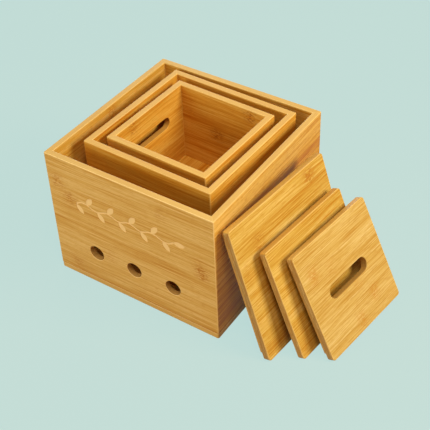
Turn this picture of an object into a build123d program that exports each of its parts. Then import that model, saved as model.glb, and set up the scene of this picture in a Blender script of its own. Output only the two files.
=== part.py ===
from build123d import *
import math
import os

# Three square bamboo storage bins standing one inside the other, with three lids leaning in a
# row against the large bin's right wall. Millimetres. The origin is the centre of the large
# bin's underside, on the table: -Y is the vented front, +X the side the lids lean on, +Z is up.
#
# Each bin has four walls mitred at the corners. The large bin stands on a full base board under
# its walls. The middle and the small bin have floors let into grooves above their lower edges,
# so that all three rims are level when the bins are nested. Each lid is a board with a finger
# slot and two cleats beneath, and its cleats drop inside a bin's rim.

# Boards
wall = 9.0  # thickness of every bin wall
base_thickness = 9.0  # the large bin's base board
floor_thickness = 9.0  # the let-in floor boards
floor_tongue = 3.0  # depth of a floor board's edge in its groove
groove_play = 0.3  # between a floor board's edge and the bottom of its groove
rest_gap = 0.3  # between two pieces that rest on each other and come apart

# Bins, square outside
large_width = 260.0
middle_width = 200.0
small_width = 158.0
rim_height = 200.0  # of all three rims above the table
floor_rise = 24.5  # from a nested bin's lower edge to the underside of its floor

# Where the nested bins stand in the bin round them: how much of the play on each side they have
# moved to the right and to the back, and their turn seen from above
middle_share_right = 0.03
middle_share_back = 0.61
middle_turn_angle = -1.4
small_share_right = -0.06
small_share_back = 0.09
small_turn_angle = -0.35

# Openings in the bins
handle_length = 80.0
handle_width = 18.0
large_handle_drop = 68.0  # from the large bin's rim to its slots' centre lines
nested_handle_drop = 44.0  # the same on the middle and the small bin
vent_diameter = 23.0
vent_pitch = 62.0
vent_count = 3
vent_height = 56.5  # of the vents' centres above the table

# Leaf vine engraved across the large bin's front, above the vents
vine_length = 171.0  # with the leaf at its end
vine_height = 136.0  # of its middle line above the table
vine_wave = 2.6  # how far the stem swings up and down
vine_stem_width = 2.4
vine_leaf_count = 9
leaf_length = 17.0
leaf_width = 8.4
leaf_angle = 52.0  # between a leaf and the stem
engraving_depth = 0.4

# Eased edges of the bins
corner_radius = 1.8  # outer upright corners
rim_arris = 1.2
seam_arris = 0.6  # each side of the seam between the large walls and their base
base_corner_radius = 3.0
base_arris = 1.5
opening_arris = 1.0  # round the handle slots and vents

# Lids
lid_thickness = 10.0
lid_corner_radius = 4.5
lid_arris = 1.3
lid_slot_length = 78.0
lid_slot_width = 20.0
slot_arris = 1.2
cleat_width = 18.0
cleat_thickness = 9.0
cleat_arris = 1.0
cleat_play = 0.5  # between a cleat and the wall it drops inside
large_lid_overlap = 5.5  # how far each lid's edge covers the walls of its bin
middle_lid_overlap = 9.0
small_lid_overlap = 5.5

# How the lids lean: angle from upright, turn seen from above, and how far back the near lower
# corner stands from the large bin's front and then from the lid before
large_lid_lean_angle = 18.6
large_lid_turn_angle = 5.7
large_lid_setback = 1.2
middle_lid_lean_angle = 23.3
middle_lid_turn_angle = 6.3
middle_lid_setback = 24.4
small_lid_lean_angle = 27.2
small_lid_turn_angle = 7.2
small_lid_setback = 16.6


def finish(part, label):
    """Labels a finished piece and writes it to its own file."""
    part.label = label
    export_step(part, f"parts/{label}.step")


def nested_frame(outer_frame, floor_top, outer_width, width, share_right, share_back, turn_angle):
    """The plane of the lower edge of a bin that stands on the floor of the bin round it."""
    play = outer_width / 2 - wall - width / 2
    foot = outer_frame.offset(floor_top + rest_gap)
    centre = foot.origin + foot.x_dir * (play * share_right) + foot.y_dir * (play * share_back)
    return Plane(origin=centre, x_dir=foot.x_dir, z_dir=foot.z_dir).rotated((0, 0, turn_angle))


def wall_face(side, width, height):
    """The plane of a wall's outer face, centred at the given height above its lower edge."""
    centre = side.origin + side.x_dir * (width / 2) + side.z_dir * height
    return Plane(origin=centre, x_dir=side.y_dir, z_dir=side.x_dir)


def cut_openings(outline, face):
    """Cuts a sketch of openings through a wall and eases both mouths of each."""
    extrude(outline, amount=-wall, mode=Mode.SUBTRACT)
    through = Axis(face.origin, face.z_dir)
    mouths = edges(Select.LAST).group_by(through)
    fillet(mouths[0] + mouths[-1], opening_arris)


def make_vine(face):
    """A sketch of a wavy stem with leaves turned up and down in turn, and one at its end."""
    step = (vine_length - leaf_length) / vine_leaf_count
    starts = [step * index - vine_length / 2 for index in range(vine_leaf_count + 1)]
    turns = [1 if index % 2 else -1 for index in range(vine_leaf_count + 1)]
    with BuildSketch(Plane.XY) as leaf:
        with BuildLine():
            ThreePointArc((0, 0), (leaf_length / 2, leaf_width / 2), (leaf_length, 0))
            ThreePointArc((leaf_length, 0), (leaf_length / 2, -leaf_width / 2), (0, 0))
        make_face()
    with BuildLine(Plane.XY) as stem:
        Spline([(x, vine_wave * turn) for x, turn in zip(starts, turns)])
    with BuildSketch(face) as vine:
        trace(stem.line, vine_stem_width)
        for x, turn in zip(starts[:-1], turns):
            with Locations(Location((x, vine_wave * turn), leaf_angle * turn)):
                add(leaf.sketch)
        with Locations(Location((starts[-1], vine_wave * turns[-1]))):
            add(leaf.sketch)
    return vine.sketch


def make_wall(label, side, width, height, foot_arris=0.0, grooved=False, handle_drop=0.0, vented=False):
    """One mitred wall of a bin, on the side that its plane's X points to."""
    with BuildPart() as panel:
        with BuildSketch(side):
            RectangleRounded(width, width, corner_radius)
            Rectangle(width - 2 * wall, width - 2 * wall, mode=Mode.SUBTRACT)
        extrude(amount=height)
        fillet(panel.faces().sort_by(Axis.Z)[-1].edges(), rim_arris)
        if foot_arris:
            foot = panel.faces().sort_by(Axis.Z)[0].outer_wire()
            fillet(foot.edges(), foot_arris)
        with BuildSketch(side):
            with BuildLine():
                Polyline((0, 0), (width, -width), (width, width), close=True)
            make_face()
        extrude(amount=height, mode=Mode.INTERSECT)
        if grooved:
            groove_width = width - 2 * wall + 2 * (floor_tongue + groove_play)
            with BuildSketch(side.offset(floor_rise)):
                Rectangle(groove_width, groove_width)
            extrude(amount=floor_thickness, mode=Mode.SUBTRACT)
        if handle_drop:
            face = wall_face(side, width, height - handle_drop)
            with BuildSketch(face) as handle:
                SlotOverall(handle_length, handle_width)
            cut_openings(handle.sketch, face)
        if vented:
            face = wall_face(side, width, vent_height - side.origin.Z)
            with BuildSketch(face) as vents:
                with GridLocations(vent_pitch, 0, vent_count, 1):
                    Circle(vent_diameter / 2)
            cut_openings(vents.sketch, face)
            vine = make_vine(wall_face(side, width, vine_height - side.origin.Z))
            extrude(vine, amount=-engraving_depth, mode=Mode.SUBTRACT)
    finish(panel.part, label)


def make_walls(bin_name, frame, width, handle_drop, foot_arris=0.0, grooved=False, vented=False):
    """The four walls of a bin up to the rim, with handle slots in the left and right ones."""
    side = frame
    for side_name in ("right", "back", "left", "front"):
        make_wall(
            f"{bin_name}_{side_name}_panel",
            side,
            width,
            rim_height - frame.origin.Z,
            foot_arris=foot_arris,
            grooved=grooved,
            handle_drop=handle_drop if side_name in ("left", "right") else 0.0,
            vented=vented and side_name == "front",
        )
        side = side.rotated((0, 0, 90))


def make_floor(label, frame, width):
    """A floor board with its edges in the walls' grooves."""
    floor_width = width - 2 * wall + 2 * floor_tongue
    with BuildPart() as floor:
        with BuildSketch(frame.offset(floor_rise)):
            Rectangle(floor_width, floor_width)
        extrude(amount=floor_thickness)
    finish(floor.part, label)


def lid_directions(lean_angle, turn_angle):
    """Unit vectors of a leaning lid: along its foot, up its slope and out of its face."""
    slope = math.radians(lean_angle)
    heading = math.radians(turn_angle)
    along = Vector(math.sin(heading), math.cos(heading), 0)
    outward_level = Vector(math.cos(heading), -math.sin(heading), 0)
    upward = outward_level * -math.sin(slope) + Vector(0, 0, math.cos(slope))
    outward = outward_level * math.cos(slope) + Vector(0, 0, math.sin(slope))
    return along, upward, outward


def place_lid(size, opening, lean_angle, turn_angle, near_y, support):
    """The plane of a lid's underside, its origin at the near lower corner.

    The lid stands on the table, with its cleats or its upper edge against the support plane.
    """
    along, upward, outward = lid_directions(lean_angle, turn_angle)
    inset = (size - opening) / 2 + cleat_play
    slope = math.radians(lean_angle)
    board_low = lid_arris * (math.cos(slope) + math.sin(slope) - 1)
    cleat_low = inset * math.cos(slope) - cleat_thickness * math.sin(slope)
    corner = Vector(0, near_y, -min(board_low, cleat_low))

    def clearance(margin, depth, arris):
        """Least distance to the support of a block's back corners, eased by arris."""
        ends = (margin + arris, size - margin - arris)
        points = [corner + along * a + upward * b - outward * (depth - arris) for a in ends for b in ends]
        return min((p - support.origin).dot(support.z_dir) for p in points) - arris

    nearest = min(clearance(inset, cleat_thickness, cleat_arris), clearance(0, 0, lid_arris))
    corner += Vector((rest_gap - nearest) / support.z_dir.X, 0, 0)
    return Plane(origin=corner, x_dir=along, z_dir=outward)


def make_lid(name, opening, overlap, lean_angle, turn_angle, near_y, support):
    """A lid's board and its two cleats. Gives the plane of the lid's upper face."""
    size = opening + 2 * overlap
    back = place_lid(size, opening, lean_angle, turn_angle, near_y, support)
    centre = size / 2
    with BuildPart() as board:
        with BuildSketch(back):
            with Locations((centre, centre)):
                RectangleRounded(size, size, lid_corner_radius)
        extrude(amount=lid_thickness)
        across = Axis(back.origin, back.z_dir)
        fillet(board.faces().filter_by(across).edges(), lid_arris)
        with BuildSketch(back):
            with Locations((centre, centre)):
                SlotOverall(lid_slot_length, lid_slot_width)
        extrude(amount=lid_thickness, mode=Mode.SUBTRACT)
        mouths = board.edges(Select.LAST).group_by(across)
        fillet(mouths[0] + mouths[-1], slot_arris)
    finish(board.part, f"{name}_lid_board")

    cleat_offset = opening / 2 - cleat_play - cleat_width / 2
    for side_name, offset in (("left", -cleat_offset), ("right", cleat_offset)):
        with BuildPart() as cleat:
            with BuildSketch(back):
                with Locations((centre + offset, centre)):
                    Rectangle(cleat_width, opening - 2 * cleat_play)
            extrude(amount=-cleat_thickness)
            back_face = cleat.faces().sort_by(across)[0]
            fillet(back_face.edges(), cleat_arris)
        finish(cleat.part, f"{name}_lid_{side_name}_cleat")
    return back.offset(lid_thickness)


os.makedirs("parts", exist_ok=True)

# Large bin: four walls on a full base board
with BuildPart() as base:
    with BuildSketch():
        RectangleRounded(large_width, large_width, base_corner_radius)
    extrude(amount=base_thickness)
    fillet(base.faces().sort_by(Axis.Z)[0].edges(), base_arris)
    fillet(base.faces().sort_by(Axis.Z)[-1].edges(), seam_arris)
finish(base.part, "large_base_board")
large_walls_frame = Plane.XY.offset(base_thickness)
make_walls("large", large_walls_frame, large_width, large_handle_drop, foot_arris=seam_arris, vented=True)

# Middle bin, standing on the large bin's base
middle_frame = nested_frame(
    Plane.XY,
    base_thickness,
    large_width,
    middle_width,
    middle_share_right,
    middle_share_back,
    middle_turn_angle,
)
make_walls("middle", middle_frame, middle_width, nested_handle_drop, grooved=True)
make_floor("middle_floor_board", middle_frame, middle_width)

# Small bin, standing on the middle bin's floor
small_frame = nested_frame(
    middle_frame,
    floor_rise + floor_thickness,
    middle_width,
    small_width,
    small_share_right,
    small_share_back,
    small_turn_angle,
)
make_walls("small", small_frame, small_width, nested_handle_drop, grooved=True)
make_floor("small_floor_board", small_frame, small_width)

# Lids: the large one fits the middle bin, the other two fit the small bin
middle_opening = middle_width - 2 * wall
small_opening = small_width - 2 * wall
right_wall = Plane(origin=(large_width / 2, 0, 0), z_dir=(1, 0, 0))
large_lid_near_y = -large_width / 2 + large_lid_setback
middle_lid_near_y = large_lid_near_y + middle_lid_setback
small_lid_near_y = middle_lid_near_y + small_lid_setback
large_lid_face = make_lid(
    "large",
    middle_opening,
    large_lid_overlap,
    large_lid_lean_angle,
    large_lid_turn_angle,
    large_lid_near_y,
    right_wall,
)
middle_lid_face = make_lid(
    "middle",
    small_opening,
    middle_lid_overlap,
    middle_lid_lean_angle,
    middle_lid_turn_angle,
    middle_lid_near_y,
    large_lid_face,
)
make_lid(
    "small",
    small_opening,
    small_lid_overlap,
    small_lid_lean_angle,
    small_lid_turn_angle,
    small_lid_near_y,
    middle_lid_face,
)
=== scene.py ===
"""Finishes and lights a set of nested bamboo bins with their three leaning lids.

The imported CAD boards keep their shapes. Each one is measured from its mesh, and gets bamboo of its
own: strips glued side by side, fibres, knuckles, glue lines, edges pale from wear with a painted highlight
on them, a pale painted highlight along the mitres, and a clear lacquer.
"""

import logging
import math
from dataclasses import dataclass, field, replace
from enum import Enum

import bpy
import numpy as np
from mathutils import Matrix, Vector


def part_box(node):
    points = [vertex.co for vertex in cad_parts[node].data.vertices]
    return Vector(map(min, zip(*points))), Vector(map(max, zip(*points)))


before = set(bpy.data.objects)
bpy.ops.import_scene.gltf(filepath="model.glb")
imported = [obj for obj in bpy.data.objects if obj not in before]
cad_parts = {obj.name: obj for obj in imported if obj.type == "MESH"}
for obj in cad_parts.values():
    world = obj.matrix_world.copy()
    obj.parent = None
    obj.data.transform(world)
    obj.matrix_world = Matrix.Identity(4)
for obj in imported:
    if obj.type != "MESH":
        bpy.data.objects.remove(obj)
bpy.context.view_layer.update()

MM = 0.001  # metres in a millimetre
UP = Vector((0.0, 0.0, 1.0))
SQUARE_ON = (0.6, 0.9)  # cosines between which a surface comes to look squarely along a direction
TURNED_AWAY = (0.6, 0.3)  # cosines between which a surface turns away from a direction
SEEDS = 977  # how many seeds the boards' names fall on
LARGEST_FACES = 8  # how many of a mesh's largest faces are tried as its widest plane
SAME_WAY = 0.9999  # cosine above which two faces lie the same way

log = logging.getLogger("bamboo_bins")

Colour = tuple[float, float, float, float]


def paint(red: int, green: int, blue: int) -> Colour:
    """Gives the linear colour of a screen colour.

    Args:
        red: Red, from 0 to 255.
        green: Green, from 0 to 255.
        blue: Blue, from 0 to 255.

    Returns:
        The linear colour with full alpha.
    """

    def linear(level: int) -> float:
        """Undoes the screen's curve for one channel."""
        share = level / 255
        return share / 12.92 if share <= 0.04045 else ((share + 0.055) / 1.055) ** 2.4

    return (linear(red), linear(green), linear(blue), 1.0)


# ---------------------------------------------------------------------------------------------
# Shader maths


class Value:
    """A number that varies over a surface. Arithmetic on it adds Math nodes."""

    def __init__(self, shader: "Shader", socket: bpy.types.NodeSocket) -> None:
        """Wraps an output socket of a shader's node."""
        self.shader = shader
        self.socket = socket

    def __add__(self, other: "Value | float") -> "Value":
        """Adds."""
        return self.shader.maths("ADD", self, other)

    __radd__ = __add__

    def __sub__(self, other: "Value | float") -> "Value":
        """Subtracts."""
        return self.shader.maths("SUBTRACT", self, other)

    def __rsub__(self, other: float) -> "Value":
        """Subtracts from a number."""
        return self.shader.maths("SUBTRACT", other, self)

    def __mul__(self, other: "Value | float") -> "Value":
        """Multiplies."""
        return self.shader.maths("MULTIPLY", self, other)

    __rmul__ = __mul__

    def __truediv__(self, other: "Value | float") -> "Value":
        """Divides."""
        return self.shader.maths("DIVIDE", self, other)

    def __pow__(self, power: float) -> "Value":
        """Raises to a power."""
        return self.shader.maths("POWER", self, power)

    def __abs__(self) -> "Value":
        """Drops the sign."""
        return self.shader.maths("ABSOLUTE", self)

    def __neg__(self) -> "Value":
        """Turns the sign."""
        return self.shader.maths("MULTIPLY", self, -1.0)

    def floor(self) -> "Value":
        """Gives the whole number below."""
        return self.shader.maths("FLOOR", self)

    def fraction(self) -> "Value":
        """Gives what the whole number below leaves."""
        return self.shader.maths("FRACT", self)

    def exp(self) -> "Value":
        """Gives e to this power."""
        return self.shader.maths("EXPONENT", self)

    def larger(self, other: "Value | float") -> "Value":
        """Gives the larger of two."""
        return self.shader.maths("MAXIMUM", self, other)

    def smaller(self, other: "Value | float") -> "Value":
        """Gives the smaller of two."""
        return self.shader.maths("MINIMUM", self, other)

    def rise(self, low: float, high: float) -> "Value":
        """Goes smoothly from 0 at low to 1 at high.

        Args:
            low: Where the rise starts. Above high, the rise is a fall.
            high: Where it ends.

        Returns:
            The eased mask.
        """
        sockets = {"Value": self, "From Min": low, "From Max": high}
        made = self.shader.node("ShaderNodeMapRange", {"interpolation_type": "SMOOTHSTEP"}, sockets)
        return Value(self.shader, made.outputs["Result"])


class Shader:
    """The node tree of a material or a world, and the calls that add nodes to it."""

    def __init__(self, owner: bpy.types.Material | bpy.types.World) -> None:
        """Empties the node tree of a material or a world.

        Args:
            owner: The material or the world.
        """
        owner.use_nodes = True
        self.owner = owner
        self.tree = owner.node_tree
        self.tree.nodes.clear()

    def surface(self, look: bpy.types.NodeSocket) -> None:
        """Makes a shader's output the look of the material or the world."""
        kind = "World" if isinstance(self.owner, bpy.types.World) else "Material"
        self.node(f"ShaderNodeOutput{kind}", {}, {"Surface": look})

    def node(self, kind: str, settings: dict | None = None, inputs: dict | None = None) -> bpy.types.Node:
        """Adds a node, sets it and then fills its sockets.

        Args:
            kind: The node's type.
            settings: Its properties. "stops" holds a ramp's places and colours.
            inputs: Socket names or numbers, each with a number, a colour, a Value or a socket.

        Returns:
            The new node.
        """
        made = self.tree.nodes.new(kind)
        for key, setting in (settings or {}).items():
            if key == "stops":
                ramp = made.color_ramp.elements
                while len(ramp) < len(setting):
                    ramp.new(0.5)
                for element, (place, colour) in zip(ramp, setting):
                    element.position = place
                    element.color = colour
            else:
                setattr(made, key, setting)
        for key, given in (inputs or {}).items():
            if isinstance(given, Value):
                given = given.socket
            if isinstance(given, bpy.types.NodeSocket):
                self.tree.links.new(given, made.inputs[key])
            else:
                made.inputs[key].default_value = given
        return made

    def maths(self, operation: str, *terms: "Value | float") -> Value:
        """Adds a Math node on its terms."""
        made = self.node("ShaderNodeMath", {"operation": operation}, dict(enumerate(terms)))
        return Value(self, made.outputs[0])

    def dot(self, vector: bpy.types.NodeSocket, axis: Vector) -> Value:
        """Gives how far a vector reaches along an axis."""
        made = self.node("ShaderNodeVectorMath", {"operation": "DOT_PRODUCT"}, {0: vector, 1: tuple(axis)})
        return Value(self, made.outputs["Value"])

    def vector(self, x: "Value | float", y: "Value | float", z: "Value | float") -> bpy.types.NodeSocket:
        """Joins three numbers into a vector."""
        return self.node("ShaderNodeCombineXYZ", {}, {0: x, 1: y, 2: z}).outputs[0]

    def noise(self, place: bpy.types.NodeSocket, detail: float) -> Value:
        """Gives soft noise about 0.5, one feature to a unit of its place.

        Args:
            place: Where in the noise the surface is.
            detail: How much finer noise rides on it.

        Returns:
            The noise.
        """
        made = self.node(
            "ShaderNodeTexNoise",
            {"noise_dimensions": "3D"},
            {"Vector": place, "Scale": 1.0, "Detail": detail, "Roughness": 0.5},
        )
        return Value(self, made.outputs["Fac"])

    def scatter(self, number: Value) -> Value:
        """Gives an even random number from 0 to 1 for each whole number."""
        made = self.node("ShaderNodeTexWhiteNoise", {"noise_dimensions": "1D"}, {"W": number})
        return Value(self, made.outputs["Value"])

    def ramp(self, level: Value, *stops: tuple[float, Colour]) -> bpy.types.NodeSocket:
        """Turns a level from 0 to 1 into a colour, between stops that each give a level and its colour."""
        return self.node("ShaderNodeValToRGB", {"stops": stops}, {"Fac": level}).outputs["Color"]

    def blend(
        self,
        share: Value,
        first: "bpy.types.NodeSocket | Colour",
        second: "bpy.types.NodeSocket | Colour",
    ) -> bpy.types.NodeSocket:
        """Lays a share of the second colour over the first."""
        sockets = {0: share, 6: first, 7: second}
        return self.node("ShaderNodeMix", {"data_type": "RGBA"}, sockets).outputs[2]


# ---------------------------------------------------------------------------------------------
# Boards


class Kind(Enum):
    """What a board is for, which sets where it shows a seam and how its edges are worn."""

    WALL = "wall"
    FLOOR = "floor"
    LID = "lid"
    CLEAT = "cleat"


class Side(Enum):
    """A wall of a bin, by its name in the CAD."""

    FRONT = "front"
    BACK = "back"
    LEFT = "left"
    RIGHT = "right"


@dataclass(frozen=True)
class Knuckle:
    """A knuckle of the bamboo: a feathery mark across one strip.

    Attributes:
        along: Its place along the grain from the board's middle, in mm.
        across: Its place across the grain from the board's middle, in mm.
        strength: How plainly it shows, from 0 to 1.
    """

    along: float
    across: float
    strength: float = 1.0


@dataclass(frozen=True)
class Band:
    """A band along the grain, deeper or paler than the wood round it. Most are fibres of another tone;
    those on the large bin's right wall are painted shade and a painted highlight.

    Attributes:
        across: Its middle, from the board's middle, in mm.
        width: Half its width, in mm.
        strength: How much deeper it is, up to 1, or paler if negative.
    """

    across: float
    width: float
    strength: float


@dataclass
class Board:
    """A CAD board and its own directions, in which it is measured.

    Attributes:
        node: The CAD node.
        kind: What the board is for.
        outward: The way its face looks.
        grain: The way its grain runs.
        across: The way its strips lie side by side.
        middle: The middle of its box, in metres.
        reach: Half its length along grain, across and outward, in mm.
    """

    node: str
    kind: Kind
    outward: Vector
    grain: Vector
    across: Vector = field(init=False)
    middle: Vector = field(init=False)
    reach: Vector = field(init=False)

    def __post_init__(self) -> None:
        """Measures the board along its own directions."""
        self.across = self.outward.cross(self.grain).normalized()
        corners = corners_of(self.node)
        axes = np.array([self.grain, self.across, self.outward])
        spans = corners @ axes.T
        low, high = spans.min(0), spans.max(0)
        self.middle = Vector(((low + high) / 2) @ axes)
        self.reach = Vector((high - low) / 2 / MM)

    @property
    def seed(self) -> int:
        """A number of this board's own, from its name."""
        return sum(ord(letter) * place for place, letter in enumerate(self.node, 1)) % SEEDS

    @property
    def size(self) -> str:
        """The board's length and width, to report."""
        return f"{2 * self.reach.x:.0f} x {2 * self.reach.y:.0f} mm"


def middle_of(node: str) -> Vector:
    """Gives the middle of a CAD node's box."""
    low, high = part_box(node)
    return (Vector(low) + Vector(high)) / 2


def corners_of(node: str) -> np.ndarray:
    """Gives a CAD node's vertices.

    Args:
        node: The CAD node.

    Returns:
        The vertices, one to a row.
    """
    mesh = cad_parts[node].data
    places = np.empty(len(mesh.vertices) * 3)
    mesh.vertices.foreach_get("co", places)
    return places.reshape(-1, 3)


def widest_face(node: str) -> Vector:
    """Gives the normal of the plane that most of a CAD node's surface lies in.

    Args:
        node: The CAD node.

    Returns:
        The unit normal, up to its sign.
    """
    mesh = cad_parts[node].data
    normals = np.empty(len(mesh.polygons) * 3)
    areas = np.empty(len(mesh.polygons))
    mesh.polygons.foreach_get("normal", normals)
    mesh.polygons.foreach_get("area", areas)
    normals = normals.reshape(-1, 3)
    signs = np.where(normals[np.arange(len(normals)), np.abs(normals).argmax(1)] < 0, -1, 1)
    normals *= signs[:, None]
    best, most = normals[0], 0.0
    for candidate in normals[np.argsort(-areas)[:LARGEST_FACES]]:
        held = areas[normals @ candidate > SAME_WAY].sum()
        if held > most:
            best, most = candidate, held
    return Vector(best).normalized()


# ---------------------------------------------------------------------------------------------
# Bamboo


@dataclass(frozen=True)
class Bamboo:
    """A lacquered bamboo, as strips glued side by side.

    Attributes:
        pale: The lightest fibres.
        body: The common colour.
        deep: The darkest fibres.
        knuckle: The marks where the cane had its joints.
        glue: The lines between strips, and the seam over the base.
        end: The end of the grain.
        cut: The walls of holes and slots.
        rim: The long edges of a board, across its plies.
        rubbed_and_highlit: The eased edges, pale from wear and lightened as a painted highlight along the
            arrises.
        strip: Width of one strip, in mm.
        contrast: How strongly light and dark streaks differ.
        roughness: Roughness of the wood under the lacquer.
        lacquer: Weight of the clear coat.
    """

    pale: Colour
    body: Colour
    deep: Colour
    knuckle: Colour
    glue: Colour
    end: Colour
    cut: Colour
    rim: Colour
    rubbed_and_highlit: Colour
    strip: float = 19.0
    contrast: float = 1.0
    roughness: float = 0.5
    lacquer: float = 0.06


TAN = Bamboo(
    pale=paint(224, 184, 108),
    body=paint(209, 162, 77),
    deep=paint(190, 129, 44),
    knuckle=paint(176, 106, 26),
    glue=paint(166, 98, 22),
    end=paint(190, 142, 74),
    cut=paint(184, 138, 72),
    rim=paint(208, 163, 84),
    rubbed_and_highlit=paint(230, 194, 120),
)
# A warmer copy of TAN for the large bin's walls other than the front: partly their own tone, partly painted
# shade, as the shade inside the bin looks warmer.
WARM_TAN = replace(TAN, pale=paint(222, 174, 88), body=paint(207, 153, 56), deep=paint(186, 118, 26))
# A deeper, streakier copy of TAN for the large bin's right wall: the streaks are its own, the deeper tone
# is painted shade where the lids shadow it.
SHADE_DEEPENED_TAN = replace(
    TAN,
    pale=paint(226, 180, 92),
    body=paint(208, 150, 50),
    deep=paint(176, 100, 14),
    contrast=1.2,
)
HONEY = Bamboo(
    pale=paint(214, 176, 94),
    body=paint(198, 154, 62),
    deep=paint(178, 116, 24),
    knuckle=paint(168, 100, 20),
    glue=paint(160, 92, 18),
    end=paint(160, 122, 68),
    cut=paint(186, 138, 66),
    # Paler than the face: partly the ends' own tone, partly painted light for the lids' upper ends, which
    # face away from the key lamp.
    rim=paint(216, 164, 80),
    rubbed_and_highlit=paint(216, 174, 96),
    strip=17.0,
    contrast=1.1,
)
LIGHT_HONEY = replace(
    HONEY,
    pale=paint(210, 176, 106),
    body=paint(193, 152, 71),
    deep=paint(172, 118, 36),
    knuckle=paint(182, 118, 36),
    contrast=0.7,
)
AMBER = Bamboo(
    pale=paint(225, 174, 76),
    body=paint(212, 148, 46),
    deep=paint(191, 115, 20),
    knuckle=paint(156, 80, 12),
    glue=paint(158, 86, 14),
    end=paint(180, 128, 58),
    cut=paint(176, 124, 50),
    rim=paint(212, 168, 90),
    rubbed_and_highlit=paint(232, 194, 116),
    strip=21.0,
    contrast=1.1,
)


@dataclass(frozen=True)
class Layer:
    """A layer of noise, drawn out along the grain.

    Attributes:
        length: Length of one feature, in mm.
        width: Its width, in mm.
        detail: How much finer noise rides on it.
        share: How much it counts.
    """

    length: float
    width: float
    detail: float
    share: float


@dataclass(frozen=True)
class Spot:
    """A point on a board, as its shader sees it. Lengths are in mm from the board's middle.

    Attributes:
        along: Place along the grain.
        across: Place across the strips.
        depth: Place through the board, towards its face.
        end_on: Mask of what looks along the grain.
        edge_on: Mask of what looks across the strips.
        off_face: Mask of what looks neither the way of the face nor back.
    """

    along: Value
    across: Value
    depth: Value
    end_on: Value
    edge_on: Value
    off_face: Value


@dataclass(frozen=True)
class Figure:
    """The figure of the wood at a point.

    Attributes:
        slide: How far the figure is moved along the grain, which differs from strip to strip.
        fine: The fine fibres.
        streak: The streaks.
        level: How pale the wood is, from 0 to 1.
        pores: Mask of the pores.
        knuckle: Mask of the knuckles.
        seam: Mask of the glue lines between strips.
    """

    slide: Value
    fine: Value
    streak: Value
    level: Value
    pores: Value
    knuckle: Value
    seam: Value


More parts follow.
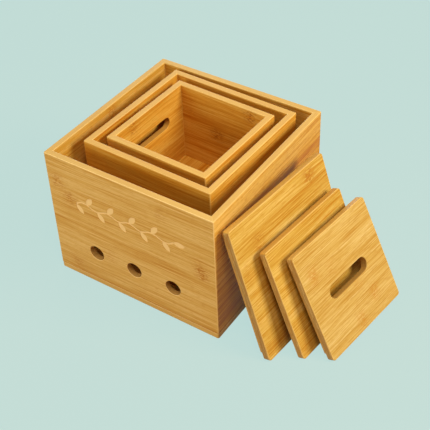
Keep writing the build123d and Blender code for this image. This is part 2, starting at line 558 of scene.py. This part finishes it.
@dataclass
class BambooBoard:
    """Dresses one board in bamboo of its own.

    Attributes:
        board: The board.
        bamboo: Its bamboo.
        knuckles: The listed knuckles.
        bands: The listed bands, deeper or paler: fibres of another tone, and on the large bin's right wall
            painted shade and a painted highlight.
        engraved: Whether a pale engraving lies in its face.
    """

    board: Board
    bamboo: Bamboo
    knuckles: tuple[Knuckle, ...] = ()
    bands: tuple[Band, ...] = ()
    engraved: bool = False

    # Lengths are in mm. A pair says where a mask starts and where it is full.

    # The grain
    FINE = Layer(60.0, 1.2, 1.0, 1.4)
    STREAK = Layer(170.0, 3.0, 2.0, 0.75)
    CLOUD = Layer(240.0, 15.0, 1.0, 0.6)
    PORE = Layer(9.0, 0.9, 0.0, 0.38)
    FEATHER = Layer(4.6, 1.7, 1.0, 0.85)
    SWAY = Layer(150.0, 60.0, 0.0, 2.4)  # its share is how far the fibres wander
    PLIES = Layer(38.0, 0.9, 2.0, 1.4)
    PITH = Layer(0.6, 0.6, 1.0, 0.5)
    PORE_EDGES = (0.58, 0.72)
    FEATHER_EDGES = (0.42, 0.6)
    STRIP_SHARE = 0.2  # how much one strip differs from the next
    STRIP_SLIDE = 37.0  # how many features the figure slides from strip to strip, at most
    BOARD_SLIDE = 0.13  # how many it slides for each step of the seed
    ROW_STARTS = 19  # how many places the strips can start at, 1 mm apart
    MIDDLE_LEVEL = 0.52  # how pale the wood is without streaks
    BAND_SHARE = 0.5  # how much a band's strength counts
    COLOUR_STOPS = (0.1, 0.5, 0.88)  # levels of the deep, common and pale colours
    END_STOPS = (0.2, 0.5, 0.85)  # the same for the end of the grain

    # Knuckles
    KNUCKLE_LENGTH = 9.5
    KNUCKLE_WIDTH = 11.0
    KNUCKLE_BASE = 0.12  # how much of a knuckle shows between its feathers
    HALO = 1.8  # how much longer than a knuckle the bend of the fibres round it is
    PUSH = -3.2  # how far the fibres bend round it
    SPARE_KNUCKLES = 3
    SPARE_STRENGTH = 0.3
    SPARE_SPREAD = 1.8  # how much of the board they spread over, where 2 is all of it
    SPARE_STEPS = (0.37, 0.21)  # how far each step of the seed moves them along and across

    # Edges, seams and holes
    GLUE_WIDTH = 0.35  # half the width of a glue line
    SEAM_SHARE = 0.16
    PLY = 3.0  # thickness of one ply
    PLY_SHARE = 0.25
    RIM_SHARE = 0.6
    CUT_SHARE = 0.8
    CUT_INSET = (2.5, 3.5)  # from the board's edges in to the walls of its holes
    # The pale line along each mitre is a painted highlight on the corners where walls meet.
    MITRE_EDGES = (0.7, 0.1)  # from the wall out to its mitre
    MITRE_SHARE = 0.4
    FOOT_EDGES = (1.8, 0.5)  # from the wall down to its lower edge
    FLOOR_EDGES = (1.2, 0.5)  # from the bottom board's edge up to its face
    FOOT_SHARE = 0.75
    # The eased edges are lightened partly by wear and partly as a painted highlight along the arrises.
    WORN_AND_HIGHLIT_EDGES = (1.6, 0.4)  # from the board out to its edges
    WEAR_AND_HIGHLIGHT_SHARE = 0.75
    TOP_WEAR_AND_HIGHLIGHT = 0.3  # how much wear and painted highlight a wall's upper edge has between its two corners
    CORNER_WEAR_AND_HIGHLIGHT = 0.5  # how much more those corners are
    END_WEAR_AND_HIGHLIGHT = 0.3  # how much wear and painted highlight its ends, the vertical corners, have
    ENGRAVED_DEPTH = (0.12, 0.3)  # from the face down to the engraving's floor
    ENGRAVED_LIMIT = (0.9, 0.6)  # from a hole's wall up to the engraving's floor
    PALE_ENGRAVING = paint(240, 202, 132)

    # Relief and gloss
    RELIEF = 0.12  # how high the highest fibres stand
    RELIEF_STRENGTH = 0.3
    FIBRE_RELIEF = 0.5
    PORE_DENT = 0.8
    SEAM_DENT = 1.2
    KNUCKLE_DENT = 0.3
    SHEEN = 0.16
    SHEEN_TINT = (1.0, 0.84, 0.6, 1.0)
    STREAK_ROUGHNESS = 0.25
    KNUCKLE_ROUGHNESS = 0.1
    LACQUER_ROUGHNESS = 0.25

    def dress(self) -> None:
        """Makes the board's material and puts it on the CAD node."""
        material = bpy.data.materials.new(f"{self.board.node}_bamboo")
        shader = Shader(material)
        spot = self.spot(shader)
        figure = self.figure(shader, spot)
        colour = self.edges(shader, spot, figure, self.face(shader, figure))
        shader.surface(self.lacquered(shader, figure, colour))
        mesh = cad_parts[self.board.node].data
        mesh.materials.clear()
        mesh.materials.append(material)

    def spot(self, shader: Shader) -> Spot:
        """Measures a point of the surface in the board's own directions.

        Args:
            shader: The material's shader.

        Returns:
            The point.
        """
        board = self.board
        place = shader.node("ShaderNodeTexCoord")
        axes = (board.grain, board.across, board.outward)
        along, across, depth = (
            shader.dot(place.outputs["Object"], axis / MM) - board.middle.dot(axis) / MM for axis in axes
        )
        to_end, to_edge, to_face = (abs(shader.dot(place.outputs["Normal"], axis)) for axis in axes)
        return Spot(
            along,
            across,
            depth,
            end_on=to_end.rise(*SQUARE_ON),
            edge_on=to_edge.rise(*SQUARE_ON),
            off_face=to_face.rise(*TURNED_AWAY),
        )

    def figure(self, shader: Shader, spot: Spot) -> Figure:
        """Works out the figure of the wood.

        Args:
            shader: The material's shader.
            spot: The point.

        Returns:
            The figure there.
        """
        seed = self.board.seed
        row = (spot.across + seed % self.ROW_STARTS) / self.bamboo.strip
        pick = shader.scatter(row.floor() + seed)
        slide = pick * self.STRIP_SLIDE + seed * self.BOARD_SLIDE
        near, push = self.marks(spot)
        place = shader.vector(spot.along / self.SWAY.length, spot.across / self.SWAY.width, slide)
        sway = (shader.noise(place, self.SWAY.detail) - 0.5) * self.SWAY.share
        bent = spot.across + push + sway

        def drawn_out(layer: Layer) -> Value:
            """Gives one layer of the grain."""
            aside, deep = bent / layer.width, spot.depth / layer.width
            return shader.noise(shader.vector(spot.along / layer.length + slide, aside, deep), layer.detail)

        fine, streak, cloud, pore = (
            drawn_out(layer) for layer in (self.FINE, self.STREAK, self.CLOUD, self.PORE)
        )
        level = (streak - 0.5) * self.STREAK.share + (cloud - 0.5) * self.CLOUD.share
        level = (level + (pick - 0.5) * self.STRIP_SHARE) * self.bamboo.contrast
        level = level + (fine - 0.5) * self.FINE.share + self.MIDDLE_LEVEL
        place = shader.vector(spot.along / self.FEATHER.length, bent / self.FEATHER.width, slide)
        feather = shader.noise(place, self.FEATHER.detail).rise(*self.FEATHER_EDGES)
        line = abs(row.fraction() - 0.5).rise(0.5 - self.GLUE_WIDTH / self.bamboo.strip, 0.5)
        return Figure(
            slide,
            fine,
            streak,
            level=level - self.banding(bent) * self.BAND_SHARE,
            pores=pore.rise(*self.PORE_EDGES) * self.PORE.share,
            knuckle=(near * (feather * self.FEATHER.share + self.KNUCKLE_BASE)).smaller(1.0),
            seam=line * self.SEAM_SHARE,
        )

    def face(self, shader: Shader, figure: Figure) -> bpy.types.NodeSocket:
        """Colours the wood along the grain.

        Args:
            shader: The material's shader.
            figure: The wood's figure.

        Returns:
            The colour.
        """
        bamboo = self.bamboo
        tones = (bamboo.deep, bamboo.body, bamboo.pale)
        colour = shader.ramp(figure.level, *zip(self.COLOUR_STOPS, tones))
        colour = shader.blend(figure.pores, colour, bamboo.deep)
        return shader.blend(figure.knuckle, colour, bamboo.knuckle)

    def end_grain(self, shader: Shader, spot: Spot, figure: Figure) -> bpy.types.NodeSocket:
        """Colours the wood at the end of its grain, with its plies and pith.

        Args:
            shader: The material's shader.
            spot: The point.
            figure: The wood's figure there.

        Returns:
            The colour.
        """
        bamboo = self.bamboo
        aside, deep = spot.across / self.PLIES.length, spot.depth / self.PLIES.width
        plies = shader.noise(shader.vector(deep, aside, figure.slide), self.PLIES.detail)
        aside, deep = spot.across / self.PITH.length, spot.depth / self.PITH.width
        pith = shader.noise(shader.vector(figure.slide, aside, deep), self.PITH.detail)
        level = (plies - 0.5) * self.PLIES.share + (pith - 0.5) * self.PITH.share + 0.5
        return shader.ramp(level, *zip(self.END_STOPS, (bamboo.deep, bamboo.end, bamboo.pale)))

    def edges(
        self, shader: Shader, spot: Spot, figure: Figure, colour: bpy.types.NodeSocket
    ) -> bpy.types.NodeSocket:
        """Colours the ends, rims, holes and seams over the wood, with pale painted highlights along the
        mitres and along the eased edges, where wear lightens them too.

        Args:
            shader: The material's shader.
            spot: The point.
            figure: The wood's figure there.
            colour: The wood's colour along the grain.

        Returns:
            The finished colour.
        """
        board, bamboo = self.board, self.bamboo
        colour = shader.blend(spot.end_on, colour, self.end_grain(shader, spot, figure))
        ply = abs((spot.depth / self.PLY).fraction() - 0.5).rise(0.5, 0.5 - self.GLUE_WIDTH / self.PLY)
        colour = shader.blend(spot.edge_on * self.RIM_SHARE, colour, bamboo.rim)
        colour = shader.blend(spot.edge_on * (1.0 - ply) * self.PLY_SHARE, colour, bamboo.glue)
        colour = shader.blend(self.sawn(spot), colour, bamboo.cut)
        colour = shader.blend(figure.seam, colour, bamboo.glue)
        if board.kind is Kind.WALL:
            # Painted highlight: a pale line along each mitre.
            colour = shader.blend(self.mitre(spot), colour, bamboo.pale)
            colour = shader.blend(self.wall_foot(spot), colour, bamboo.glue)
        if board.kind is Kind.FLOOR:
            colour = shader.blend(self.floor_seam(spot), colour, bamboo.glue)
        # Painted highlight, with some wear: the eased edges are laid paler.
        colour = shader.blend(self.worn_and_highlit(spot) * self.WEAR_AND_HIGHLIGHT_SHARE, colour, bamboo.rubbed_and_highlit)
        if self.engraved:
            colour = shader.blend(self.engraving(spot), colour, self.PALE_ENGRAVING)
        return colour

    def lacquered(
        self, shader: Shader, figure: Figure, colour: bpy.types.NodeSocket
    ) -> bpy.types.NodeSocket:
        """Gives the wood its relief, its sheen and its lacquer.

        Args:
            shader: The material's shader.
            figure: The wood's figure.
            colour: Its finished colour.

        Returns:
            The finished surface.
        """
        height = figure.fine * self.FIBRE_RELIEF + figure.streak * self.FIBRE_RELIEF
        height = height - figure.pores * self.PORE_DENT - figure.seam * self.SEAM_DENT
        height = height - figure.knuckle * self.KNUCKLE_DENT
        bump = shader.node(
            "ShaderNodeBump",
            {},
            {"Strength": self.RELIEF_STRENGTH, "Distance": self.RELIEF * MM, "Height": height},
        )
        roughness = self.bamboo.roughness + (figure.streak - 0.5) * self.STREAK_ROUGHNESS
        roughness = roughness + figure.knuckle * self.KNUCKLE_ROUGHNESS
        wood = shader.node(
            "ShaderNodeBsdfPrincipled",
            {},
            {
                "Base Color": colour,
                "Roughness": roughness,
                "Specular IOR Level": self.SHEEN,
                "Specular Tint": self.SHEEN_TINT,
                "Coat Weight": self.bamboo.lacquer,
                "Coat Roughness": self.LACQUER_ROUGHNESS,
                "Normal": bump.outputs["Normal"],
            },
        )
        return wood.outputs["BSDF"]

    def marks(self, spot: Spot) -> tuple[Value, Value]:
        """Lays out the knuckles, and how far each one pushes the fibres aside.

        Args:
            spot: The point.

        Returns:
            The knuckles' mask, and the push in mm.
        """
        near: Value | float = 0.0
        push: Value | float = 0.0
        for knuckle in self.knuckles + self.spare():
            off = (spot.along - knuckle.along) / self.KNUCKLE_LENGTH
            aside = (spot.across - knuckle.across) / self.KNUCKLE_WIDTH
            core = (-(off**2.0) - abs(aside) ** 4.0).exp() * knuckle.strength
            halo = (-((off / self.HALO) ** 2.0) - aside**2.0).exp() * knuckle.strength
            near = core + near
            push = halo * aside * self.PUSH + push
        return near, push

    def spare(self) -> tuple[Knuckle, ...]:
        """Spreads fainter knuckles evenly over the board.

        Returns:
            The knuckles.
        """
        golden = (math.sqrt(5) - 1) / 2
        reach = self.board.reach
        start, side = (self.board.seed * step for step in self.SPARE_STEPS)
        found = []
        for count in range(self.SPARE_KNUCKLES):
            far = ((start + count * golden) % 1 - 0.5) * self.SPARE_SPREAD
            aside = (((count + 0.5) / self.SPARE_KNUCKLES + side) % 1 - 0.5) * self.SPARE_SPREAD
            found.append(Knuckle(far * reach.x, aside * reach.y, self.SPARE_STRENGTH))
        return tuple(found)

    def banding(self, across: Value) -> Value | float:
        """Masks the deeper or paler bands: fibres of another tone, and on the large bin's right wall
        painted shade and a painted highlight.

        Args:
            across: Place across the bent fibres, in mm.

        Returns:
            The mask, below 0 where the fibres are paler.
        """
        total: Value | float = 0.0
        for band in self.bands:
            total = (-(((across - band.across) / band.width) ** 2.0)).exp() * band.strength + total
        return total

    def mitre(self, spot: Spot) -> Value:
        """Masks the mitres where a wall meets its neighbours, where a pale painted highlight is laid along
        the corners.
        """
        inside = (self.board.reach.x - self.board.reach.z) + spot.depth - abs(spot.along)
        return inside.rise(*self.MITRE_EDGES) * self.MITRE_SHARE

    def wall_foot(self, spot: Spot) -> Value:
        """Masks the lower edge of a wall, above the seam."""
        return (spot.across + self.board.reach.y).rise(*self.FOOT_EDGES) * self.FOOT_SHARE

    def floor_seam(self, spot: Spot) -> Value:
        """Masks the upper edge of a bottom board, beneath the seam."""
        low, high = (self.board.reach.z - inset for inset in self.FLOOR_EDGES)
        return spot.depth.rise(low, high) * spot.off_face * self.FOOT_SHARE

    def worn_and_highlit(self, spot: Spot) -> Value:
        """Masks the board's eased edges, pale from wear and lightened as a painted highlight along the
        arrises.

        Args:
            spot: The point.

        Returns:
            The mask.
        """

        def eased(place: Value, reach: float) -> Value:
            """Masks what lies close to the reach."""
            inner, outer = self.WORN_AND_HIGHLIT_EDGES
            return place.rise(reach - inner, reach - outer)

        reach = self.board.reach
        face = eased(abs(spot.depth), reach.z)
        end = eased(abs(spot.along), reach.x)
        if self.board.kind is Kind.WALL:
            top = eased(spot.across, reach.y)
            return (top * (face * self.CORNER_WEAR_AND_HIGHLIGHT + self.TOP_WEAR_AND_HIGHLIGHT)).larger(end * self.END_WEAR_AND_HIGHLIGHT)
        return eased(abs(spot.across), reach.y).larger(end) * face

    def sawn(self, spot: Spot) -> Value:
        """Masks the walls of the holes and slots, away from the board's own edges.

        Args:
            spot: The point.

        Returns:
            The mask.
        """
        reach = self.board.reach
        inside = (reach.x - abs(spot.along)).smaller(reach.y - abs(spot.across))
        return inside.rise(*self.CUT_INSET) * spot.off_face * self.CUT_SHARE

    def engraving(self, spot: Spot) -> Value:
        """Masks the floor of the engraving, by its depth under the face."""
        under = self.board.reach.z - spot.depth
        return under.rise(*self.ENGRAVED_DEPTH) * under.rise(*self.ENGRAVED_LIMIT)


# ---------------------------------------------------------------------------------------------
# Sub-assemblies


@dataclass
class Bin:
    """A bin of four mitred walls and a bottom board.

    Attributes:
        name: The bin's name in the CAD.
        bottom: The CAD name of its bottom board.
        bamboo: The walls' bamboo.
        bottom_bamboo: The bottom's bamboo.
        own: The walls with a bamboo of their own.
        bottom_grain_forward: Whether the bottom's grain runs to the front.
        knuckles: Knuckles listed for each wall.
        bands: Deeper or paler bands listed for each wall: fibres of another tone, and on the large bin's
            right wall painted shade and a painted highlight.
        engraved: The walls that carry an engraving.
    """

    name: str
    bottom: str
    bamboo: Bamboo
    bottom_bamboo: Bamboo
    own: dict[Side, Bamboo] = field(default_factory=dict)
    bottom_grain_forward: bool = True
    knuckles: dict[Side, tuple[Knuckle, ...]] = field(default_factory=dict)
    bands: dict[Side, tuple[Band, ...]] = field(default_factory=dict)
    engraved: tuple[Side, ...] = ()

    def dress(self) -> None:
        """Dresses the walls and the bottom."""
        for side in Side:
            self.dress_wall(side)
        self.dress_bottom()

    def wall(self, side: Side) -> str:
        """Gives the CAD name of a wall."""
        return f"{self.name}_{side.value}_panel"

    def dress_wall(self, side: Side) -> None:
        """Dresses one wall, with its face outwards and its grain level.

        Args:
            side: The wall.
        """
        node = self.wall(side)
        centre = sum((middle_of(self.wall(other)) for other in Side), Vector()) / len(Side)
        outward = widest_face(node)
        if outward.dot(middle_of(node) - centre) < 0:
            outward.negate()
        board = Board(node, Kind.WALL, outward, UP.cross(outward).normalized())
        BambooBoard(
            board,
            self.own.get(side, self.bamboo),
            self.knuckles.get(side, ()),
            self.bands.get(side, ()),
            side in self.engraved,
        ).dress()
        log.info("%s: %s wall", node, board.size)

    def dress_bottom(self) -> None:
        """Dresses the bottom board."""
        forward = widest_face(self.wall(Side.FRONT))
        grain = forward if self.bottom_grain_forward else UP.cross(forward)
        board = Board(self.bottom, Kind.FLOOR, UP, grain.normalized())
        BambooBoard(board, self.bottom_bamboo).dress()
        log.info("%s: %s bottom", self.bottom, board.size)


@dataclass
class Lid:
    """A lid: a slotted board with two cleats beneath.

    Attributes:
        name: The lid's name in the CAD.
        bamboo: Its bamboo.
        knuckles: Knuckles listed on its board.
    """

    name: str
    bamboo: Bamboo
    knuckles: tuple[Knuckle, ...] = ()

    def dress(self) -> None:
        """Dresses the board and its cleats."""
        node = f"{self.name}_lid_board"
        outward = widest_face(node)
        if outward.x < 0:
            outward.negate()
        board = Board(node, Kind.LID, outward, UP.cross(outward).normalized())
        BambooBoard(board, self.bamboo, self.knuckles).dress()
        log.info("%s: %s lid", node, board.size)
        for side in (Side.LEFT, Side.RIGHT):
            cleat = Board(f"{self.name}_lid_{side.value}_cleat", Kind.CLEAT, outward, board.across)
            BambooBoard(cleat, self.bamboo).dress()
            log.info("%s: %s cleat", cleat.node, cleat.size)


# ---------------------------------------------------------------------------------------------
# Studio


@dataclass(frozen=True)
class Softbox:
    """A square area lamp aimed at a point.

    Attributes:
        name: The lamp's name.
        place: Where it hangs, in metres.
        side: Its side, in metres.
        power: Its power, in watts.
        colour: Its light's linear colour.
    """

    name: str
    place: tuple[float, float, float]
    side: float
    power: float
    colour: tuple[float, float, float]

    def hang(self, aim: Vector) -> None:
        """Adds the lamp, turned to a point.

        Args:
            aim: The point, in metres.
        """
        lamp = bpy.data.lights.new(self.name, "AREA")
        lamp.shape = "SQUARE"
        lamp.size = self.side
        lamp.energy = self.power
        lamp.color = self.colour
        holder = bpy.data.objects.new(self.name, lamp)
        bpy.context.scene.collection.objects.link(holder)
        holder.location = self.place
        holder.rotation_euler = (Vector(self.place) - aim).to_track_quat("Z", "Y").to_euler()


@dataclass(frozen=True)
class Viewpoint:
    """The camera, by the point that it looks at and the way from there to the camera.

    Attributes:
        aim: The point, in mm.
        azimuth: Turn from the front to the right, in degrees.
        elevation: Height above level, in degrees.
        roll: Turn about the line of sight, in degrees.
        distance: From the point to the camera, in mm.
        lens: Focal length, in mm.
        frame_side: Side of the frame behind the lens, in mm.
        shift: The frame's shift, as shares of its side.
    """

    aim: tuple[float, float, float] = (23.33, 83.22, 100.0)
    azimuth: float = 33.38
    elevation: float = 38.21
    roll: float = -1.42
    distance: float = 1371.9
    lens: float = 81.48
    frame_side: float = 36.0
    shift: tuple[float, float] = (-0.05, -0.12)

    def set_up(self) -> None:
        """Adds the camera and makes it the scene's."""
        turn, tilt, roll = (math.radians(angle) for angle in (self.azimuth, self.elevation, self.roll))
        back = Vector((math.sin(turn) * math.cos(tilt), -math.cos(turn) * math.cos(tilt), math.sin(tilt)))
        right = UP.cross(back).normalized()
        top = back.cross(right)
        right, top = (
            right * math.cos(roll) + top * math.sin(roll),
            top * math.cos(roll) - right * math.sin(roll),
        )
        data = bpy.data.cameras.new("camera")
        data.lens = self.lens
        data.sensor_width = self.frame_side
        data.shift_x, data.shift_y = self.shift
        holder = bpy.data.objects.new("camera", data)
        bpy.context.scene.collection.objects.link(holder)
        turned = Matrix((right, top, back)).transposed().to_4x4()
        place = (Vector(self.aim) + back * self.distance) * MM
        holder.matrix_world = Matrix.Translation(place) @ turned
        bpy.context.scene.camera = holder


@dataclass
class Studio:
    """The pale floor, the soft light and the camera.

    Attributes:
        backdrop: The floor's and the background's colour.
        floor_side: The floor's side, in metres.
        glow: How much of the floor's colour shows without light on it.
        paper: The floor's colour under the light.
        sky_strength: Strength of the light from all round.
        sky: Its colour.
        softboxes: The lamps.
        aim: The point that the lamps are turned to, in metres.
        viewpoint: The camera.
    """

    backdrop: Colour = paint(198, 230, 226)
    floor_side: float = 40.0
    glow: float = 0.87
    paper: Colour = paint(170, 134, 90)
    sky_strength: float = 0.17
    sky: Colour = (1.0, 0.87, 0.7, 1.0)
    softboxes: tuple[Softbox, ...] = (
        Softbox("key", (1.61, 0.26, 1.25), 0.75, 35.5, (1.0, 1.0, 0.97)),
        Softbox("top", (0.7, -0.7, 1.85), 0.6, 17.0, (1.0, 0.91, 0.78)),
        Softbox("fill", (-0.83, -1.95, 0.6), 0.9, 23.2, (0.96, 1.0, 1.0)),
        Softbox("back", (-1.3, 1.6, 0.7), 0.9, 15.0, (1.0, 0.98, 0.95)),
    )
    aim: tuple[float, float, float] = (0.03, 0.0, 0.1)
    viewpoint: Viewpoint = Viewpoint()

    def set_up(self) -> None:
        """Builds the studio."""
        self.lay_floor()
        self.light_sky()
        for softbox in self.softboxes:
            softbox.hang(Vector(self.aim))
        self.viewpoint.set_up()
        bpy.context.scene.view_settings.view_transform = "Standard"
        log.info("studio: %d lamps", len(self.softboxes))

    def lay_floor(self) -> None:
        """Lays the floor, which keeps the bins' shadow."""
        bpy.ops.object.select_all(action="DESELECT")
        bpy.ops.mesh.primitive_plane_add(size=self.floor_side, location=(0, 0, 0))
        floor = bpy.context.object
        floor.name = "floor"
        material = bpy.data.materials.new("floor_paint")
        shader = Shader(material)
        glow = shader.node("ShaderNodeEmission", {}, {"Color": self.backdrop, "Strength": 1.0})
        matt = shader.node("ShaderNodeBsdfDiffuse", {}, {"Color": self.paper})
        shader.surface(self.either(shader, self.glow, matt, glow))
        floor.data.materials.append(material)

    def light_sky(self) -> None:
        """Lights the scene evenly, and shows the backdrop's colour to the camera."""
        world = bpy.data.worlds.new("studio")
        bpy.context.scene.world = world
        shader = Shader(world)
        light = shader.node("ShaderNodeBackground", {}, {"Color": self.sky, "Strength": self.sky_strength})
        show = shader.node("ShaderNodeBackground", {}, {"Color": self.backdrop, "Strength": 1.0})
        shader.surface(self.either(shader, 1.0, light, show))

    def either(
        self, shader: Shader, share: float, lit: bpy.types.Node, shown: bpy.types.Node
    ) -> bpy.types.NodeSocket:
        """Shows one look to the camera and to mirrors, and lights the rest with another.

        Args:
            shader: The tree that both are in.
            share: How much of the shown look there is.
            lit: The look that lights the rest.
            shown: The look that is seen.

        Returns:
            The mixed look.
        """
        path = shader.node("ShaderNodeLightPath")
        camera, glossy, through = (
            Value(shader, path.outputs[f"Is {ray} Ray"]) for ray in ("Camera", "Glossy", "Transmission")
        )
        seen = camera.larger(glossy).larger(through) * share
        sockets = {0: seen, 1: lit.outputs[0], 2: shown.outputs[0]}
        return shader.node("ShaderNodeMixShader", {}, sockets).outputs[0]


def main() -> None:
    """Builds the studio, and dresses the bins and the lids."""
    logging.basicConfig(level=logging.INFO, format="%(name)s: %(message)s")
    Studio().set_up()
    Bin(
        "large",
        "large_base_board",
        # The warmer tan on the walls other than the front is partly their own tone and partly painted
        # shade.
        WARM_TAN,
        bottom_bamboo=TAN,
        # The right wall's deeper tan is painted shade under the lids.
        own={Side.FRONT: TAN, Side.RIGHT: SHADE_DEEPENED_TAN},
        bottom_grain_forward=False,
        knuckles={
            Side.FRONT: (
                Knuckle(-114.0, 55.0, 0.8),
                Knuckle(-96.0, 33.0, 0.85),
                Knuckle(109.0, 1.0, 1.0),
                Knuckle(-98.0, -82.0, 0.5),
            ),
            Side.LEFT: (Knuckle(2.0, 84.0, 0.7),),
        },
        bands={
            Side.FRONT: (Band(-9.0, 6.0, -0.22), Band(-94.0, 5.0, 0.6), Band(-30.0, 15.0, -0.25)),
            # On the right wall the deeper band low down is painted shade where the lids shadow it, and the
            # paler band near the top is a painted highlight.
            Side.RIGHT: (Band(-60.0, 55.0, 0.5), Band(80.0, 12.0, -0.3)),
        },
        engraved=(Side.FRONT,),
    ).dress()
    Bin("middle", "middle_floor_board", AMBER, bottom_bamboo=AMBER).dress()
    Bin(
        "small",
        "small_floor_board",
        AMBER,
        bottom_bamboo=AMBER,
        knuckles={
            Side.BACK: (Knuckle(-45.0, 68.0, 0.8), Knuckle(11.0, 15.0, 0.9)),
            Side.LEFT: (Knuckle(36.0, 70.0, 0.7),),
        },
    ).dress()
    Lid("large", HONEY, (Knuckle(61.0, 82.0, 0.9), Knuckle(-54.0, 56.0, 0.7))).dress()
    Lid("middle", HONEY).dress()
    Lid(
        "small",
        LIGHT_HONEY,
        (Knuckle(-54.0, 37.0, 0.7), Knuckle(34.0, -43.0, 0.7), Knuckle(-4.0, -61.0, 0.7)),
    ).dress()


if __name__ == "__main__":
    main()
